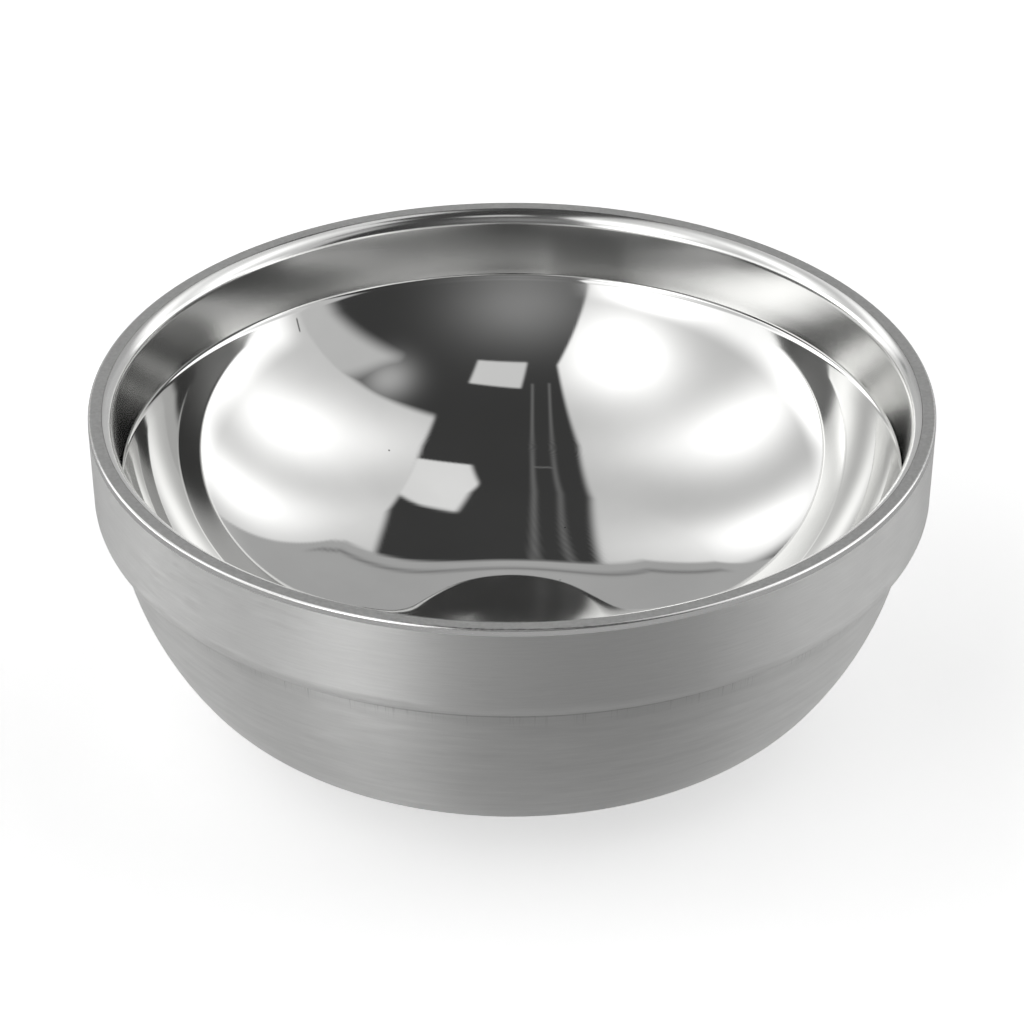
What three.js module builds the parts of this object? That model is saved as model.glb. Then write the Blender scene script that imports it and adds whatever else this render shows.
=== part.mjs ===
// Double-wall stainless steel shaving bowl: a polished inner bowl inside a satin outer shell,
// joined at the rim by a ring of weld metal ground flat. Millimetres, +Z up.
// The origin is on the axis, at the surface that the bowl stands on.
//
// Every piece is a body of revolution. An outline runs from the rim inwards and downwards,
// and its directions are angles from straight down: 0 is a vertical wall, 90 a flat floor.
import * as THREE from 'three';

// Whole bowl
const RIM_RADIUS = 57.5;
const SHEET = 0.5;
const JOINT_GAP = 0.3;
const SEGMENTS = 48;

// Weld ring along the rim
const RIM_WIDTH = 1.9;
const WELD_DEPTH = 1.0;
const WELD_CORNER = 0.35;

// Outer shell: a tapered band, its rounded lower edge, a crease, then the round body
const BAND_DEPTH = 12;
const BAND_TAPER = 0.6;
const BAND_ROUND_RADIUS = 3;
const BAND_ROUND_END = 85;
const BODY_START = 7.5;
const SIDE_RADIUS = 42.4;
const SIDE_END = 36.7;
const HEEL_RADIUS = 20;
const HEEL_END = 60;
const DISH_RADIUS = 55;
const DISH_END = 74;
const FOOT_RADIUS = 6;
const BASE_RECESS_RADIUS = 22;
const BASE_RECESS_DEPTH = 0.6;
const BASE_RECESS_SLOPE = 1.5;

// Inner bowl: a flared lip, a steep collar, a narrow ledge, a shoulder, a round wall, a shallow floor
const LIP_RADIUS = 2.1;
const LIP_START = 75;
const COLLAR_ANGLE = 7;
const COLLAR_LENGTH = 7.4;
const LEDGE_FILLET = 1.5;
const LEDGE_ANGLE = 32;
const SHOULDER_RADIUS = 2.5;
const WALL_START = 21.5;
const WALL_RADIUS = 36.2;
const WALL_END = 72;
const FLOOR_RADIUS = 71;
const FLOOR_END = 86.5;

const radians = THREE.MathUtils.degToRad;

// An outline drawn like a pen path: where the pen is, and the points it has left behind.
class Outline {
  constructor(radius, height) {
    this.points = [new THREE.Vector2(radius, height)];
  }

  get end() {
    return this.points[this.points.length - 1];
  }

  // A straight stretch of the given length, at an angle from straight down.
  line(angle, length) {
    const a = radians(angle);
    this.points.push(new THREE.Vector2(
      this.end.x - length * Math.sin(a),
      this.end.y - length * Math.cos(a)));
    return this;
  }

  // An arc that turns from one angle to another.
  arc(from, to, radius, steps) {
    const a0 = radians(from);
    const start = this.end.clone();
    const side = Math.sign(to - from);
    for (let i = 1; i <= steps; i += 1) {
      const a = a0 + (radians(to) - a0) * (i / steps);
      this.points.push(new THREE.Vector2(
        start.x - side * radius * (Math.cos(a0) - Math.cos(a)),
        start.y - side * radius * (Math.sin(a) - Math.sin(a0))));
    }
    return this;
  }

  // The last arc of a face, level where it meets the axis.
  arcToAxis(from, steps) {
    this.arc(from, 90, this.end.x / Math.cos(radians(from)), steps);
    this.end.setX(0);
    return this;
  }

  // A straight stretch to a given place, or level with the pen to the axis.
  to(radius, height) {
    this.points.push(new THREE.Vector2(radius, height));
    return this;
  }

  toAxis() {
    return this.to(0, this.end.y);
  }
}

// The other face of a sheet: the outline moved sideways by the sheet's thickness, away from
// the axis where the distance is positive and towards it where it is negative.
function offset(points, distance) {
  return points.map((point, i) => {
    const before = points[Math.max(i - 1, 0)];
    const after = points[Math.min(i + 1, points.length - 1)];
    const arriving = point.clone().sub(before).normalize();
    const leaving = after.clone().sub(point).normalize();
    const along = arriving.add(leaving).normalize();
    const place = new THREE.Vector2(-along.y, along.x).multiplyScalar(distance).add(point);
    place.x = point.x === 0 ? 0 : place.x;
    return place;
  });
}

// A closed ring or a closed cup: the section turned about the bowl's axis.
function turned(name, section, colour, roughness) {
  const geometry = new THREE.LatheGeometry(section, SEGMENTS);
  geometry.rotateX(Math.PI / 2);
  const material = new THREE.MeshStandardMaterial({ color: colour, roughness, metalness: 1 });
  const mesh = new THREE.Mesh(geometry, material);
  mesh.name = name;
  return mesh;
}

// How far an arc of the given radius goes down as it turns from one angle to another.
function drop(from, to, radius) {
  return radius * (Math.sin(radians(to)) - Math.sin(radians(from)));
}

const CREASE_DEPTH = BAND_DEPTH + drop(0, BAND_ROUND_END, BAND_ROUND_RADIUS);
const RIM_HEIGHT = CREASE_DEPTH
  + drop(BODY_START, SIDE_END, SIDE_RADIUS)
  + drop(SIDE_END, HEEL_END, HEEL_RADIUS)
  + drop(HEEL_END, DISH_END, DISH_RADIUS)
  + drop(DISH_END, 90, FOOT_RADIUS);

// The closed section of a cup of sheet metal: up its outer face to the rim, then down its inner one.
function cup(outerFace, innerFace) {
  return [...outerFace.toReversed(), ...innerFace];
}

function outerShell() {
  const topOfSheet = RIM_HEIGHT - WELD_DEPTH - JOINT_GAP;
  const outerFace = new Outline(RIM_RADIUS, topOfSheet)
    .to(RIM_RADIUS - BAND_TAPER, RIM_HEIGHT - BAND_DEPTH)
    .arc(0, BAND_ROUND_END, BAND_ROUND_RADIUS, 4)
    .arc(BODY_START, SIDE_END, SIDE_RADIUS, 4)
    .arc(SIDE_END, HEEL_END, HEEL_RADIUS, 2)
    .arc(HEEL_END, DISH_END, DISH_RADIUS, 2)
    .arc(DISH_END, 90, FOOT_RADIUS, 1)
    .to(BASE_RECESS_RADIUS + BASE_RECESS_SLOPE, 0)
    .to(BASE_RECESS_RADIUS, BASE_RECESS_DEPTH)
    .toAxis()
    .points;
  return turned('outer_shell', cup(outerFace, offset(outerFace, -SHEET)), 0xa8a8a5, 0.38);
}

function innerBowl() {
  const innerFace = new Outline(RIM_RADIUS - RIM_WIDTH, RIM_HEIGHT)
    .arc(LIP_START, COLLAR_ANGLE, LIP_RADIUS, 4)
    .line(COLLAR_ANGLE, COLLAR_LENGTH)
    .arc(COLLAR_ANGLE, LEDGE_ANGLE, LEDGE_FILLET, 3)
    .arc(LEDGE_ANGLE, WALL_START, SHOULDER_RADIUS, 2)
    .arc(WALL_START, WALL_END, WALL_RADIUS, 8)
    .arc(WALL_END, FLOOR_END, FLOOR_RADIUS, 2)
    .arcToAxis(FLOOR_END, 2)
    .points;
  return turned('inner_bowl', cup(offset(innerFace, SHEET), innerFace), 0xc9cacb, 0.06);
}

function rimWeld() {
  const innerRadius = RIM_RADIUS - RIM_WIDTH + JOINT_GAP;
  const bottom = RIM_HEIGHT - WELD_DEPTH;
  const corner = new THREE.Path()
    .absarc(RIM_RADIUS - WELD_CORNER, RIM_HEIGHT - WELD_CORNER, WELD_CORNER, 0, Math.PI / 2)
    .getSpacedPoints(3);
  const section = [
    new THREE.Vector2(innerRadius, bottom),
    new THREE.Vector2(RIM_RADIUS, bottom),
    ...corner,
    new THREE.Vector2(innerRadius, RIM_HEIGHT),
    new THREE.Vector2(innerRadius, bottom),
  ];
  return turned('rim_weld', section, 0x9b9b98, 0.3);
}

const bowl = new THREE.Group();
bowl.add(innerBowl(), outerShell(), rimWeld());

export default bowl;
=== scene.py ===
"""A double-wall stainless steel shaving bowl on a pale floor under studio softboxes.

The bowl is three turned pieces: the polished inner bowl, the brushed outer shell, and the weld
ring ground flat along the rim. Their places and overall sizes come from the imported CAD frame.
Lengths are in metres. An outline runs from the rim inwards and downwards, and its directions are
angles from straight down: 0 is a vertical wall, 90 a flat floor.
"""

import math

import bpy
import numpy as np
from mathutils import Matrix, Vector


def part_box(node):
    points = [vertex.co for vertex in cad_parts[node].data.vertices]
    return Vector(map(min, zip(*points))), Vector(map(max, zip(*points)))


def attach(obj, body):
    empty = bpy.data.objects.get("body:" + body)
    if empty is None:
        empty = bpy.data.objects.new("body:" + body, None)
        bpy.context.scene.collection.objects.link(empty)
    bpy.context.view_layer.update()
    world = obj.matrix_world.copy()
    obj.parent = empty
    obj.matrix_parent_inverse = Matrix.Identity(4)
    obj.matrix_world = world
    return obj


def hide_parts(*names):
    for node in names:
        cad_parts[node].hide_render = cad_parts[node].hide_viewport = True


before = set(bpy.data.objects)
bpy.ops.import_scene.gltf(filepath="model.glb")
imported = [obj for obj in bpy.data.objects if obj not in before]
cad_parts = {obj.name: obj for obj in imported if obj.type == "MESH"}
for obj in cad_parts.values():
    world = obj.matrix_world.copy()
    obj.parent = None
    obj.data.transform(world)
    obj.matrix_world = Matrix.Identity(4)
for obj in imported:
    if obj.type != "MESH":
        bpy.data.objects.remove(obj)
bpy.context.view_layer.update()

MM = 0.001

# The bowl's driving sizes. Its radius and height come from the frame.
RIM_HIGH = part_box("rim_weld")[1]
RIM_RADIUS = RIM_HIGH.x
RIM_HEIGHT = RIM_HIGH.z
RIM_WIDTH = 1.9 * MM
RIM_CORNER = 0.35 * MM
WELD_DEPTH = 1.0 * MM
SEAM_WIDTH = 0.05 * MM
SHEET = 0.5 * MM

BAND_DEPTH = 12 * MM
BAND_TAPER = 0.6 * MM
BAND_ROUND_RADIUS = 3 * MM
BAND_ROUND_END = 85
BODY_START = 7.5
SIDE_RADIUS = 42.4 * MM
SIDE_END = 36.7
HEEL_RADIUS = 20 * MM
HEEL_END = 60
DISH_RADIUS = 55 * MM
DISH_END = 74
FOOT_RADIUS = 6 * MM
BASE_RECESS_RADIUS = 22 * MM
BASE_RECESS_DEPTH = 0.6 * MM
BASE_RECESS_SLOPE = 1.5 * MM

LIP_RADIUS = 2.1 * MM
LIP_START = 75
COLLAR_ANGLE = 7
COLLAR_LENGTH = 7.4 * MM
LEDGE_FILLET = 1.5 * MM
LEDGE_ANGLE = 32
SHOULDER_RADIUS = 2.5 * MM
WALL_START = 21.5
WALL_RADIUS = 36.2 * MM
WALL_END = 72
FLOOR_RADIUS = 71 * MM
FLOOR_END = 86.5

CREASE_HEIGHT = RIM_HEIGHT - BAND_DEPTH - BAND_ROUND_RADIUS

# How finely the turned surfaces are divided
SEGMENTS = 360
ARC_STEP = 2.5
LINE_STEP = 2 * MM
CORNER_STEPS = 8
FLAT_STEPS = 6
SHARP_ANGLE = 30
ON_AXIS = 1e-9

# The polish: the roughest it gets on the collar and on the upper wall, and where those begin
POLISH_LINE_SHARE = 0.15
COLLAR_ROUGHNESS = 0.13
COLLAR_FOOT = RIM_HEIGHT - 9.5 * MM
COLLAR_BLEND = 1.2 * MM
UPPER_ROUGHNESS = 0.05
UPPER_WALL_FOOT = RIM_HEIGHT - 16 * MM
UPPER_WALL_TOP = RIM_HEIGHT - 10 * MM

# Small marks in the polish. The scratch's direction and widths are angles round the axis.
SPECK_DENSITY = 260
SPECK_SIZE = 0.03
SPECK_EDGE = 1.6
SPECK_RARITY = 0.86
SPECK_CHOICE = 0.01
SPECK_DARKNESS = 0.7
SCRATCH_DIRECTION = math.radians(125.2)
SCRATCH_WIDTH = 0.001
SCRATCH_EDGE = 0.0035
SCRATCH_HIGH = RIM_HEIGHT - 10.5 * MM
SCRATCH_LOW = RIM_HEIGHT - 12.6 * MM
SCRATCH_FADE = 0.3 * MM
SCRATCH_DARKNESS = 0.8

# The brushing: its direction and shares, the marks at the crease, the painted shade in the crease and
# under the band's edge, and how much painted shade darkens the body below
BRUSHED_ANISOTROPY = 0.85
QUARTER_TURN = 0.25
FINE_SHARE = 0.5
COARSE_SHARE = 0.5
CLOUD_SHARE = 0.2
TICK_DARKNESS = 0.3
CREASE_PAINTED_SHADE = 0.85
CURL_PAINTED_SHADE = 0.35
BODY_PAINTED_SHADE = 0.2
COARSE_BUMP = 0.6
BODY_BLEND = 1 * MM
TICKS_LOW = CREASE_HEIGHT - 2.6 * MM
TICKS_HIGH = CREASE_HEIGHT - 0.4 * MM
CREASE_CORE = 0.2 * MM
CREASE_EDGE = 0.7 * MM
CURL_LOW = CREASE_HEIGHT - 0.1 * MM
CURL_HIGH = CREASE_HEIGHT + 1.6 * MM

# The ground weld: its burnished corner, and how much its grain shows
BURNISH_INNER = RIM_RADIUS - RIM_CORNER
BURNISH_OUTER = RIM_RADIUS - 0.6 * RIM_CORNER
BURNISH_POLISH = 0.25
GRAIN_SHARE = 0.6

# The camera: how high above level it stands, how far from the rim's centre, how much further down
# it points than there, and its lens and sensor in mm
CAMERA_ELEVATION = 30.27
CAMERA_DISTANCE = 1.15
CAMERA_TILT = 0.711
CAMERA_LENS = 298.15
CAMERA_SENSOR = 36
CAMERA_NEAR = 0.05
CAMERA_FAR = 100


class Outline:
    """A section drawn like a pen path, as (radius, height) points."""

    def __init__(self, radius, height):
        self.points = [(radius, height)]

    def to(self, radius, height):
        """A straight stretch to a given place, divided evenly."""
        r, h = self.points[-1]
        steps = max(1, math.ceil(math.hypot(radius - r, height - h) / LINE_STEP))
        for i in range(1, steps + 1):
            t = i / steps
            self.points.append((r + (radius - r) * t, h + (height - h) * t))
        return self

    def line(self, angle, length):
        """A straight stretch of a given length, at an angle from straight down."""
        a = math.radians(angle)
        r, h = self.points[-1]
        return self.to(r - length * math.sin(a), h - length * math.cos(a))

    def arc(self, start, end, radius):
        """An arc that turns from one angle to another."""
        r, h = self.points[-1]
        a0, a1 = math.radians(start), math.radians(end)
        side = math.copysign(1, end - start)
        steps = max(2, math.ceil(abs(end - start) / ARC_STEP))
        for i in range(1, steps + 1):
            a = a0 + (a1 - a0) * i / steps
            self.points.append((
                r - side * radius * (math.cos(a0) - math.cos(a)),
                h - side * radius * (math.sin(a) - math.sin(a0))))
        return self

    def arc_to_axis(self, start):
        """The last arc, level where it meets the axis."""
        r = self.points[-1][0]
        self.arc(start, 90, r / math.cos(math.radians(start)))
        self.points[-1] = (0, self.points[-1][1])
        return self

    def to_axis(self):
        return self.to(0, self.points[-1][1])


def offset(points, distance):
    """The other face of a sheet: the outline moved sideways, away from the axis if positive."""
    moved = []
    for i, (r, h) in enumerate(points):
        here = Vector((r, h))
        before = Vector(points[max(i - 1, 0)])
        after = Vector(points[min(i + 1, len(points) - 1)])
        along = ((here - before).normalized() + (after - here).normalized()).normalized()
        place = here + distance * Vector((-along.y, along.x))
        moved.append((0 if r < ON_AXIS else place.x, place.y))
    return moved


def placed(name, data):
    """A mesh or camera put in the scene as a new object."""
    piece = bpy.data.objects.new(name, data)
    bpy.context.scene.collection.objects.link(piece)
    return piece


def turned(name, section, closed=False):
    """A piece made by turning a section about the bowl's axis."""
    rings = []
    vertices = []
    for r, h in section:
        if r < ON_AXIS:
            rings.append([len(vertices)])
            vertices.append((0, 0, h))
            continue
        rings.append(list(range(len(vertices), len(vertices) + SEGMENTS)))
        for i in range(SEGMENTS):
            a = 2 * math.pi * i / SEGMENTS
            vertices.append((r * math.cos(a), r * math.sin(a), h))
    faces = []
    following = rings[1:] + rings[:1] if closed else rings[1:]
    for one, two in zip(rings, following):
        for i in range(SEGMENTS):
            j = (i + 1) % SEGMENTS
            if len(one) == 1:
                faces.append((one[0], two[j], two[i]))
            elif len(two) == 1:
                faces.append((one[i], one[j], two[0]))
            else:
                faces.append((one[i], one[j], two[j], two[i]))
    mesh = bpy.data.meshes.new(name)
    mesh.from_pydata(vertices, [], faces)
    mesh.update()
    mesh.shade_smooth()
    mesh.set_sharp_from_angle(angle=math.radians(SHARP_ANGLE))
    return placed(name, mesh)


def inner_face():
    """The inner bowl's polished face: lip, collar, ledge, shoulder, round wall and shallow floor."""
    return (Outline(RIM_RADIUS - RIM_WIDTH, RIM_HEIGHT)
            .arc(LIP_START, COLLAR_ANGLE, LIP_RADIUS)
            .line(COLLAR_ANGLE, COLLAR_LENGTH)
            .arc(COLLAR_ANGLE, LEDGE_ANGLE, LEDGE_FILLET)
            .arc(LEDGE_ANGLE, WALL_START, SHOULDER_RADIUS)
            .arc(WALL_START, WALL_END, WALL_RADIUS)
            .arc(WALL_END, FLOOR_END, FLOOR_RADIUS)
            .arc_to_axis(FLOOR_END).points)


def outer_face():
    """The outer shell's outer face: tapered band, its rounded edge, crease, round body and base."""
    return (Outline(RIM_RADIUS, RIM_HEIGHT - WELD_DEPTH)
            .to(RIM_RADIUS - BAND_TAPER, RIM_HEIGHT - BAND_DEPTH)
            .arc(0, BAND_ROUND_END, BAND_ROUND_RADIUS)
            .arc(BODY_START, SIDE_END, SIDE_RADIUS)
            .arc(SIDE_END, HEEL_END, HEEL_RADIUS)
            .arc(HEEL_END, DISH_END, DISH_RADIUS)
            .arc(DISH_END, 90, FOOT_RADIUS)
            .to(BASE_RECESS_RADIUS + BASE_RECESS_SLOPE, 0)
            .to(BASE_RECESS_RADIUS, BASE_RECESS_DEPTH)
            .to_axis().points)


def cup(outer, inner):
    """The closed section of a cup: up its outer face to the rim, then down its inner one."""
    return list(reversed(outer)) + inner


def rim_section():
    """The weld ring's section, from its inner top edge round its rounded outer corner."""
    inner = RIM_RADIUS - RIM_WIDTH + SEAM_WIDTH
    corner = []
    for i in range(CORNER_STEPS + 1):
        a = math.radians(90 - 90 * i / CORNER_STEPS)
        corner.append((
            RIM_RADIUS - RIM_CORNER + RIM_CORNER * math.cos(a),
            RIM_HEIGHT - RIM_CORNER + RIM_CORNER * math.sin(a)))
    width = corner[0][0] - inner
    flat = [(inner + width * i / FLAT_STEPS, RIM_HEIGHT) for i in range(FLAT_STEPS)]
    underside = RIM_HEIGHT - WELD_DEPTH
    return flat + corner + [(RIM_RADIUS, underside), (inner, underside)]


# Materials

class Nodes:
    """A short way to write a material's nodes."""

    def __init__(self, name):
        self.material = bpy.data.materials.new(name)
        self.material.use_nodes = True
        self.tree = self.material.node_tree
        self.shader = self.tree.nodes["Principled BSDF"]

    def add(self, kind, **settings):
        node = self.tree.nodes.new("ShaderNode" + kind)
        for key, value in settings.items():
            setattr(node, key, value)
        return node

    def link(self, source, target):
        self.tree.links.new(source, target)

    def math(self, operation, a, b=0.0):
        node = self.add("Math", operation=operation)
        for socket, value in zip(node.inputs, (a, b)):
            if isinstance(value, (int, float)):
                socket.default_value = value
            else:
                self.link(value, socket)
        return node.outputs[0]

    def noise(self, vector, scale, detail=2.0, roughness=0.5):
        node = self.add("TexNoise")
        node.inputs["Scale"].default_value = scale
        node.inputs["Detail"].default_value = detail
        node.inputs["Roughness"].default_value = roughness
        self.link(vector, node.inputs["Vector"])
        return node.outputs["Fac"]

    def spread(self, value, low, high, start=0.0, end=1.0):
        node = self.add("MapRange")
        node.inputs["From Min"].default_value = start
        node.inputs["From Max"].default_value = end
        node.inputs["To Min"].default_value = low
        node.inputs["To Max"].default_value = high
        self.link(value, node.inputs["Value"])
        return node.outputs["Result"]

    def rise(self, value, start, end):
        """From 0 to 1 between two values."""
        return self.spread(value, 0, 1, start, end)

    def fall(self, value, start, end):
        """From 1 to 0 between two values."""
        return self.spread(value, 1, 0, start, end)

    def plus(self, a, b):
        return self.math("ADD", a, b)

    def times(self, a, b):
        return self.math("MULTIPLY", a, b)

    def larger(self, a, b):
        return self.math("MAXIMUM", a, b)

    def away(self, value, centre):
        """How far a value is from a centre."""
        return self.math("ABSOLUTE", self.math("SUBTRACT", value, centre))

    def dimmed(self, shade, dirt_and_shade):
        """A shade, less the share that a darkening takes from it: real dirt on the polished steel,
        painted shade on the satin steel.
        """
        return self.times(shade, self.math("SUBTRACT", 1.0, dirt_and_shade))

    def place(self):
        return self.add("TexCoord").outputs["Object"]

    def parts(self):
        """The place's x, y and z. The z is the height above the floor."""
        node = self.add("SeparateXYZ")
        self.link(self.place(), node.inputs[0])
        return node.outputs["X"], node.outputs["Y"], node.outputs["Z"]

    def around(self, turns, depth):
        """Coordinates wrapped round the axis: turns along the circle, depth across it."""
        x, y, z = self.parts()
        angle = self.math("ARCTAN2", y, x)
        circle = self.add("CombineXYZ")
        self.link(self.times(self.math("COSINE", angle), turns), circle.inputs["X"])
        self.link(self.times(self.math("SINE", angle), turns), circle.inputs["Y"])
        self.link(self.times(z, depth), circle.inputs["Z"])
        return circle.outputs[0]

    def specks(self):
        """Scattered round specks, 1 inside and 0 outside. Most cells have none."""
        cells = self.add("TexVoronoi")
        cells.inputs["Scale"].default_value = SPECK_DENSITY
        self.link(self.place(), cells.inputs["Vector"])
        dot = self.fall(cells.outputs["Distance"], SPECK_SIZE, SPECK_SIZE * SPECK_EDGE)
        chosen = self.rise(cells.outputs["Color"], SPECK_RARITY, SPECK_RARITY + SPECK_CHOICE)
        return self.times(dot, chosen)

    def scratch(self):
        """One short dark scratch that runs down the upper wall, 1 on it and 0 off it."""
        x, y, z = self.parts()
        aside = self.away(self.math("ARCTAN2", y, x), SCRATCH_DIRECTION)
        thin = self.fall(aside, SCRATCH_WIDTH, SCRATCH_EDGE)
        low = self.rise(z, SCRATCH_LOW, SCRATCH_LOW + SCRATCH_FADE)
        high = self.fall(z, SCRATCH_HIGH - SCRATCH_FADE, SCRATCH_HIGH)
        return self.times(thin, self.times(low, high))

    def bump(self, height, strength, distance):
        node = self.add("Bump")
        node.inputs["Strength"].default_value = strength
        node.inputs["Distance"].default_value = distance
        self.link(height, node.inputs["Height"])
        self.link(node.outputs["Normal"], self.shader.inputs["Normal"])

    def colour(self, factor, dark, light):
        node = self.add("Mix", data_type="RGBA")
        self.link(factor, node.inputs["Factor"])
        node.inputs[6].default_value = (*dark, 1)
        node.inputs[7].default_value = (*light, 1)
        self.link(node.outputs[2], self.shader.inputs["Base Color"])

    def roughness(self, value):
        self.link(value, self.shader.inputs["Roughness"])


def polished_steel():
    """Mirror finish with a faint waviness, fine haze, small dark specks and one scratch."""
    n = Nodes("polished_steel")
    n.shader.inputs["Metallic"].default_value = 1
    haze = n.noise(n.place(), scale=60, detail=4)
    lines = n.noise(n.place(), scale=900)
    dirt_and_shade = n.larger(n.times(n.specks(), SPECK_DARKNESS), n.times(n.scratch(), SCRATCH_DARKNESS))
    clean = n.spread(haze, low=0.9, high=1.0, start=0.3, end=0.7)
    n.colour(n.dimmed(clean, dirt_and_shade), dark=(0.05, 0.05, 0.05), light=(0.80, 0.80, 0.79))
    wear = n.plus(haze, n.times(lines, POLISH_LINE_SHARE))
    polish = n.spread(wear, low=0.010, high=0.024, start=0.4, end=0.75)
    height = n.parts()[2]
    collar = n.spread(height, low=0, high=COLLAR_ROUGHNESS,
                      start=COLLAR_FOOT - COLLAR_BLEND, end=COLLAR_FOOT + COLLAR_BLEND)
    upper = n.spread(height, low=0, high=UPPER_ROUGHNESS, start=UPPER_WALL_FOOT, end=UPPER_WALL_TOP)
    n.roughness(n.plus(polish, n.larger(collar, upper)))
    n.bump(n.noise(n.place(), scale=70, detail=1), strength=0.03, distance=0.5 * MM)
    return n.material


def satin_steel():
    """Brushed round the bowl, finely on the band, coarsely below it, with die marks at the crease,
    painted shade along the crease and under the band's edge, and painted shade over the body.
    """
    n = Nodes("satin_steel")
    n.shader.inputs["Metallic"].default_value = 1
    n.shader.inputs["Anisotropic"].default_value = BRUSHED_ANISOTROPY
    n.shader.inputs["Anisotropic Rotation"].default_value = QUARTER_TURN
    tangent = n.add("Tangent", direction_type="RADIAL", axis="Z")
    n.link(tangent.outputs[0], n.shader.inputs["Tangent"])

    fine = n.noise(n.around(turns=10, depth=3600), scale=1, detail=4, roughness=0.7)
    coarse = n.noise(n.around(turns=5, depth=900), scale=1, detail=3)
    cloud = n.noise(n.place(), scale=60, detail=3)
    height = n.parts()[2]
    body = n.fall(height, CREASE_HEIGHT - BODY_BLEND, CREASE_HEIGHT + BODY_BLEND)
    brushed = n.plus(n.times(fine, FINE_SHARE), n.times(cloud, CLOUD_SHARE))
    brushed = n.plus(brushed, n.times(n.times(coarse, COARSE_SHARE), body))

    under = n.rise(height, TICKS_LOW, TICKS_HIGH)
    ticks = n.rise(n.noise(n.around(turns=230, depth=120), scale=1), start=0.58, end=0.74)
    marks = n.times(n.times(ticks, under), body)
    # Painted shade: a dark line along the crease and a darker strip under the band's rounded edge,
    # where shade falls.
    crease = n.fall(n.away(height, CREASE_HEIGHT), CREASE_CORE, CREASE_EDGE)
    curl = n.times(n.fall(height, CREASE_HEIGHT, CURL_HIGH), n.rise(height, CURL_LOW, CREASE_HEIGHT))
    painted_crease_shade = n.larger(n.times(crease, CREASE_PAINTED_SHADE), n.times(curl, CURL_PAINTED_SHADE))

    shade = n.spread(brushed, low=0.72, high=1, start=0.2, end=0.75)
    shade = n.math("SUBTRACT", shade, n.times(marks, TICK_DARKNESS))
    # Painted shade: the body below the crease is darkened, standing in for the shadowed floor it
    # reflects.
    shade = n.dimmed(n.dimmed(shade, painted_crease_shade), n.times(body, BODY_PAINTED_SHADE))
    n.colour(shade, dark=(0.2, 0.2, 0.195), light=(0.90, 0.90, 0.89))
    n.roughness(n.spread(fine, low=0.42, high=0.56, start=0.3, end=0.7))
    n.bump(n.plus(fine, n.times(coarse, COARSE_BUMP)), strength=0.08, distance=0.04 * MM)
    return n.material


def ground_rim():
    """Weld metal ground flat, with a fine mottled grain and a burnished outer corner."""
    n = Nodes("ground_rim")
    n.shader.inputs["Metallic"].default_value = 1
    grain = n.noise(n.place(), scale=2200, detail=3)
    x, y, _ = n.parts()
    radius = n.math("SQRT", n.plus(n.math("POWER", x, 2.0), n.math("POWER", y, 2.0)))
    corner = n.rise(radius, BURNISH_INNER, BURNISH_OUTER)
    shade = n.larger(n.times(grain, GRAIN_SHARE), corner)
    n.colour(shade, dark=(0.41, 0.41, 0.405), light=(0.86, 0.86, 0.85))
    flat = n.spread(grain, low=0.38, high=0.52, start=0.3, end=0.7)
    n.roughness(n.math("SUBTRACT", flat, n.times(corner, BURNISH_POLISH)))
    n.bump(grain, strength=0.15, distance=0.03 * MM)
    return n.material


# Stage

# The studio is a dome seen only in reflections. A place on it is (x, y) in degrees from straight
# up: x to the right, y away from the camera. A soft spot on it is (centre, size, brightness).
DOME_RADIUS = 3.0
DOME_STEP = 0.6
DOME_LOW = 96
CEILING = 0.05
BEHIND_CAMERA = ((-4, -66), (24, 18), 0.22)

# The two softboxes beside the bowl: an even glow with brighter spots in it
RIGHT_BOX_GLOW = 0.64
RIGHT_BOX_SPOTS = [((52, 2), (26, 14), 0.95), ((50, 34), (24, 9), 0.95)]
RIGHT_BOX_EDGE = 17
RIGHT_BOX_LEAN = 0.09
RIGHT_BOX_LOW = -14
RIGHT_BOX_SLOPE = 0.42
RIGHT_BOX_TOP = 50
RIGHT_BOX_TOOTH = ((33, -28), (7, 9), 0.42)
SKIRT_GLOW = 0.55
SKIRT_EDGE = 30
SKIRT_PIVOT = 29
SKIRT_LOW = -38
SKIRT_SLOPE = 0.25
SKIRT_CORNER = 68
LEFT_BOX_GLOW = 0.58
LEFT_BOX_SPOTS = [((-52, 4), (26, 13), 1.05),
                  ((-40, 42), (22, 8), 1.05),
                  ((-32, -39), (17, 19), 1.4)]
LEFT_BOX_EDGE = 12.5
LEFT_BOX_LEAN = 0.12
LEFT_BOX_TOP = 52
LEFT_BOX_FOOT = -38
LEFT_BOX_FOOT_SLOPE = 0.5
BOX_EDGE_BLUR = 1.5
BOX_TOP_BLUR = 6

# Two cards and a light stand, as corners
HIGH_CARD = [(6, 30.5), (11, 28.5), (15.3, 23), (16.8, 6), (6.5, 9.5), (4.3, 20)]
HIGH_CARD_GLOW = 0.85
FRONT_CARD = [(-2.2, -28), (11, -30), (9.5, -40.5), (-4.2, -39.7)]
FRONT_CARD_GLOW = 0.72
CARD_BLUR = 1.2
STAND = [[(-1.9, 46), (-1.3, 46), (-4.8, -30), (-5.4, -30)],
         [(-4.6, 46), (-4.0, 46), (-9.1, -30), (-9.7, -30)],
         [(-6.4, 11.2), (-3.2, 11.2), (-3.2, 10.5), (-6.4, 10.5)]]
STAND_GLOW = 0.12
STAND_BLUR = 0.8

# A sheet of paper behind the bowl, brighter near the floor, with a dark line along its edge. Each
# side of the edge is (its y at the middle, its rise per degree).
PAPER_EDGE = 46.3
PAPER_BOW = 0.016
PAPER_BOW_CENTRE = -1.5
PAPER_RIGHT = (36.6, 0.23)
PAPER_LEFT = (40, -0.39)
PAPER_BLUR = 1.0
PAPER_GLOW = 0.45
PAPER_FOOT_GLOW = 0.12
PAPER_FOOT = 66
PAPER_LINE = 2.8
PAPER_LINE_WIDTH = 0.5
PAPER_LINE_REACH = 22
PAPER_LINE_DARKNESS = 0.2

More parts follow.
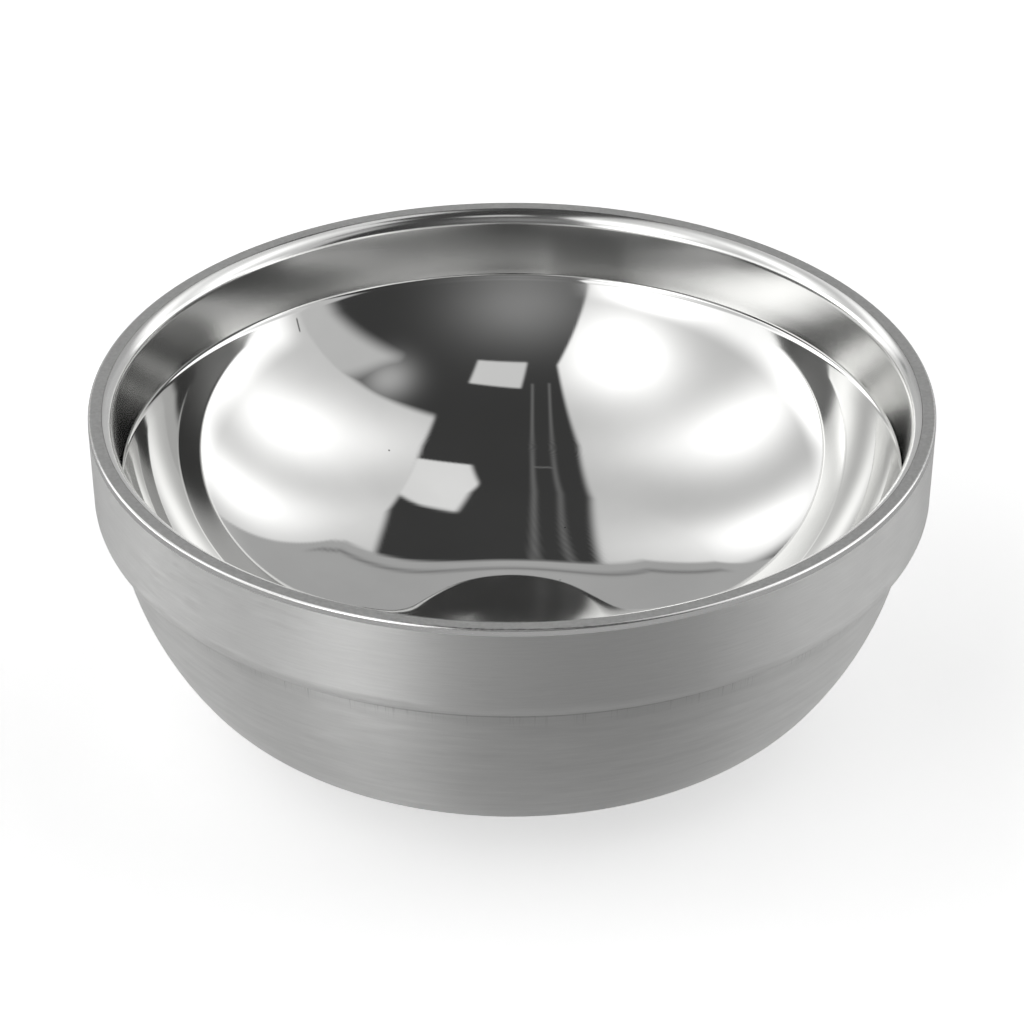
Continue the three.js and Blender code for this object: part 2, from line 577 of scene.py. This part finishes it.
# Light low on both sides. Directions go round the bowl from the camera, to the right if positive.
# A column of light is (direction, width, brightness).
LOW_LIGHT_TILT = 74
RIGHT_LIGHT = 0.68
RIGHT_LIGHT_START = 68
RIGHT_LIGHT_END = 150
LEFT_LIGHT = 0.62
LEFT_LIGHT_START = 22
LEFT_LIGHT_END = 160
LIGHT_END_BLUR = 40
LEFT_COLUMNS = [(-41, 11, 2.7), (-104, 10, 1.5)]

# The floors: how far they reach, and the colour and glow of each
FLOOR_SIZE = 2.9
SEEN_FLOOR = (0.9, 0.45)
MIRRORED_FLOOR = (0.22, 0.08)


def smooth(value, edge, width):
    """Rises from 0 to 1 across an edge."""
    t = np.clip((value - edge) / width + 0.5, 0, 1)
    return t * t * (3 - 2 * t)


def spot(x, y, centre, size, brightness):
    """A soft oval glow."""
    return brightness * np.exp(-(((x - centre[0]) / size[0]) ** 2 + ((y - centre[1]) / size[1]) ** 2))


def polygon(x, y, corners, width):
    """A flat card with straight edges, its corners in clockwise order."""
    inside = np.ones_like(x)
    for (x0, y0), (x1, y1) in zip(corners, corners[1:] + corners[:1]):
        length = math.hypot(x1 - x0, y1 - y0)
        within = ((x - x0) * (y1 - y0) - (y - y0) * (x1 - x0)) / length
        inside *= smooth(within, 0, width)
    return inside


def right_softbox(x, y):
    """The right softbox, its slanted lower edge, and two fainter patches of light under it."""
    glow = RIGHT_BOX_GLOW + sum(spot(x, y, *each) for each in RIGHT_BOX_SPOTS)
    edge = smooth(x, RIGHT_BOX_EDGE - RIGHT_BOX_LEAN * np.maximum(y, 0), BOX_EDGE_BLUR)
    low = smooth(y + RIGHT_BOX_SLOPE * (x - RIGHT_BOX_EDGE), RIGHT_BOX_LOW, width=4)
    box = glow * edge * low * smooth(-y, -RIGHT_BOX_TOP, BOX_TOP_BLUR)
    skirt = SKIRT_GLOW * smooth(x, SKIRT_EDGE, width=5)
    skirt *= smooth(y + SKIRT_SLOPE * (x - SKIRT_PIVOT), SKIRT_LOW, width=8)
    skirt *= smooth(x - y, SKIRT_CORNER, width=14)
    return np.maximum(box, np.maximum(skirt, spot(x, y, *RIGHT_BOX_TOOTH)))


def left_softbox(x, y):
    """The left softbox, its inner edge slanted outwards at its foot."""
    glow = LEFT_BOX_GLOW + sum(spot(x, y, *each) for each in LEFT_BOX_SPOTS)
    foot = LEFT_BOX_FOOT_SLOPE * np.maximum(LEFT_BOX_FOOT - y, 0)
    edge = smooth(-x, LEFT_BOX_EDGE - LEFT_BOX_LEAN * np.maximum(y, 0) + foot, BOX_EDGE_BLUR)
    return glow * edge * smooth(-y, -LEFT_BOX_TOP, BOX_TOP_BLUR)


def side_lights(x, y):
    """Light that stands low on both sides, none of it beside the camera."""
    low = smooth(np.hypot(x, y), LOW_LIGHT_TILT, width=10)
    turn = np.degrees(np.arctan2(x, -y))
    right = RIGHT_LIGHT * smooth(turn, RIGHT_LIGHT_START, width=9)
    right *= smooth(-turn, -RIGHT_LIGHT_END, LIGHT_END_BLUR)
    left = LEFT_LIGHT * smooth(-turn, LEFT_LIGHT_START, width=12)
    left *= smooth(turn, -LEFT_LIGHT_END, LIGHT_END_BLUR)
    columns = sum(glow * np.exp(-((turn - centre) / width) ** 2)
                  for centre, width, glow in LEFT_COLUMNS)
    return low * (right + left + columns)


def with_paper(x, y, glow):
    """The glow with the paper over it. The paper's edge bows up in the middle and rises aside."""
    bow = PAPER_EDGE - PAPER_BOW * (x - PAPER_BOW_CENTRE) ** 2
    right = PAPER_RIGHT[0] + PAPER_RIGHT[1] * x
    left = PAPER_LEFT[0] + PAPER_LEFT[1] * x
    edge = np.maximum(bow, np.maximum(right, left))
    paper = smooth(y, edge, PAPER_BLUR)
    foot = PAPER_FOOT_GLOW * smooth(np.hypot(x, y), PAPER_FOOT, width=10)
    glow = glow * (1 - paper) + (PAPER_GLOW + foot) * paper
    line = np.exp(-((y - edge - PAPER_LINE) / PAPER_LINE_WIDTH) ** 2)
    return glow - PAPER_LINE_DARKNESS * line * smooth(-np.abs(x), -PAPER_LINE_REACH, width=6)


def studio_glow(x, y):
    """How brightly the studio glows at a place on the dome."""
    glow = CEILING + right_softbox(x, y) + left_softbox(x, y) + side_lights(x, y)
    glow += spot(x, y, *BEHIND_CAMERA)
    high = polygon(x, y, HIGH_CARD, CARD_BLUR)
    front = polygon(x, y, FRONT_CARD, CARD_BLUR)
    glow = glow * (1 - high) + HIGH_CARD_GLOW * high
    glow = glow * (1 - front) + FRONT_CARD_GLOW * front
    glow += STAND_GLOW * np.maximum.reduce([polygon(x, y, part, STAND_BLUR) for part in STAND])
    return with_paper(x, y, glow)


def glowing(name, attribute):
    """A material that glows as strongly as a mesh attribute says."""
    material = bpy.data.materials.new(name)
    material.use_nodes = True
    tree = material.node_tree
    tree.nodes.remove(tree.nodes["Principled BSDF"])
    light = tree.nodes.new("ShaderNodeEmission")
    light.inputs["Color"].default_value = (1, 1, 1, 1)
    source = tree.nodes.new("ShaderNodeAttribute")
    source.attribute_name = attribute
    tree.links.new(source.outputs["Fac"], light.inputs["Strength"])
    tree.links.new(light.outputs[0], tree.nodes["Material Output"].inputs["Surface"])
    material.cycles.emission_sampling = "NONE"
    return material


def dome():
    """The studio: a dome of small faces that glows as studio_glow says, unseen by the camera."""
    rings = int(DOME_LOW / DOME_STEP)
    steps = int(360 / DOME_STEP)
    tilt, turn = np.meshgrid(np.arange(rings + 1) * DOME_STEP,
                             np.arange(steps) * DOME_STEP, indexing="ij")
    x = tilt * np.cos(np.radians(turn))
    y = tilt * np.sin(np.radians(turn))
    reach = np.sin(np.radians(tilt)) * DOME_RADIUS
    points = np.stack([reach * np.cos(np.radians(turn)),
                       reach * np.sin(np.radians(turn)),
                       np.cos(np.radians(tilt)) * DOME_RADIUS + RIM_HEIGHT], axis=-1).reshape(-1, 3)
    faces = []
    for i in range(rings):
        for j in range(steps):
            k = (j + 1) % steps
            faces.append((i * steps + j, i * steps + k, (i + 1) * steps + k, (i + 1) * steps + j))
    mesh = bpy.data.meshes.new("studio_dome")
    mesh.from_pydata(points.tolist(), [], faces)
    glow = mesh.attributes.new("glow", "FLOAT", "POINT")
    glow.data.foreach_set("value", studio_glow(x, y).astype(np.float32).ravel())
    mesh.materials.append(glowing("studio_dome", "glow"))
    piece = placed("studio_dome", mesh)
    piece.visible_camera = False


def floor(name, colour, glow):
    """A plain matt floor."""
    mesh = bpy.data.meshes.new(name)
    mesh.from_pydata([(-FLOOR_SIZE, -FLOOR_SIZE, 0), (FLOOR_SIZE, -FLOOR_SIZE, 0),
                      (FLOOR_SIZE, FLOOR_SIZE, 0), (-FLOOR_SIZE, FLOOR_SIZE, 0)], [], [(0, 1, 2, 3)])
    n = Nodes(name)
    n.shader.inputs["Base Color"].default_value = (colour, colour, colour, 1)
    n.shader.inputs["Roughness"].default_value = 0.8
    n.shader.inputs["Specular IOR Level"].default_value = 0
    n.shader.inputs["Emission Color"].default_value = (1, 1, 1, 1)
    n.shader.inputs["Emission Strength"].default_value = glow
    mesh.materials.append(n.material)
    piece = placed(name, mesh)
    return piece


def camera():
    data = bpy.data.cameras.new("camera")
    data.lens = CAMERA_LENS
    data.sensor_width = CAMERA_SENSOR
    data.clip_start = CAMERA_NEAR
    data.clip_end = CAMERA_FAR
    piece = placed("camera", data)
    e = math.radians(CAMERA_ELEVATION)
    piece.location = (0, -CAMERA_DISTANCE * math.cos(e), RIM_HEIGHT + CAMERA_DISTANCE * math.sin(e))
    piece.rotation_euler = (math.radians(90 - CAMERA_ELEVATION - CAMERA_TILT), 0, 0)
    bpy.context.scene.camera = piece


camera()

liner = turned("polished_inner_bowl", cup(offset(inner_face(), SHEET), inner_face()))
shell = turned("brushed_outer_shell", cup(outer_face(), offset(outer_face(), -SHEET)))
ring = turned("ground_rim_ring", rim_section(), closed=True)
for piece, node, slot, material in (
        (liner, "inner_bowl", "polished_steel", polished_steel()),
        (shell, "outer_shell", "satin_steel", satin_steel()),
        (ring, "rim_weld", "ground_rim", ground_rim())):
    piece.data.materials.append(material)
    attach(piece, "root")
    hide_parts(node)

# One floor is seen directly; a darker one is seen only in the bowl's reflections.
seen = floor("floor", *SEEN_FLOOR)
seen.visible_glossy = False
mirrored = floor("mirrored_floor", *MIRRORED_FLOOR)
mirrored.visible_camera = False
mirrored.visible_diffuse = False
mirrored.visible_shadow = False
dome()

world = bpy.data.worlds.new("studio")
world.use_nodes = True
world.node_tree.nodes["Background"].inputs["Color"].default_value = (1, 1, 1, 1)
bpy.context.scene.world = world
bpy.context.scene.view_settings.view_transform = "Standard"
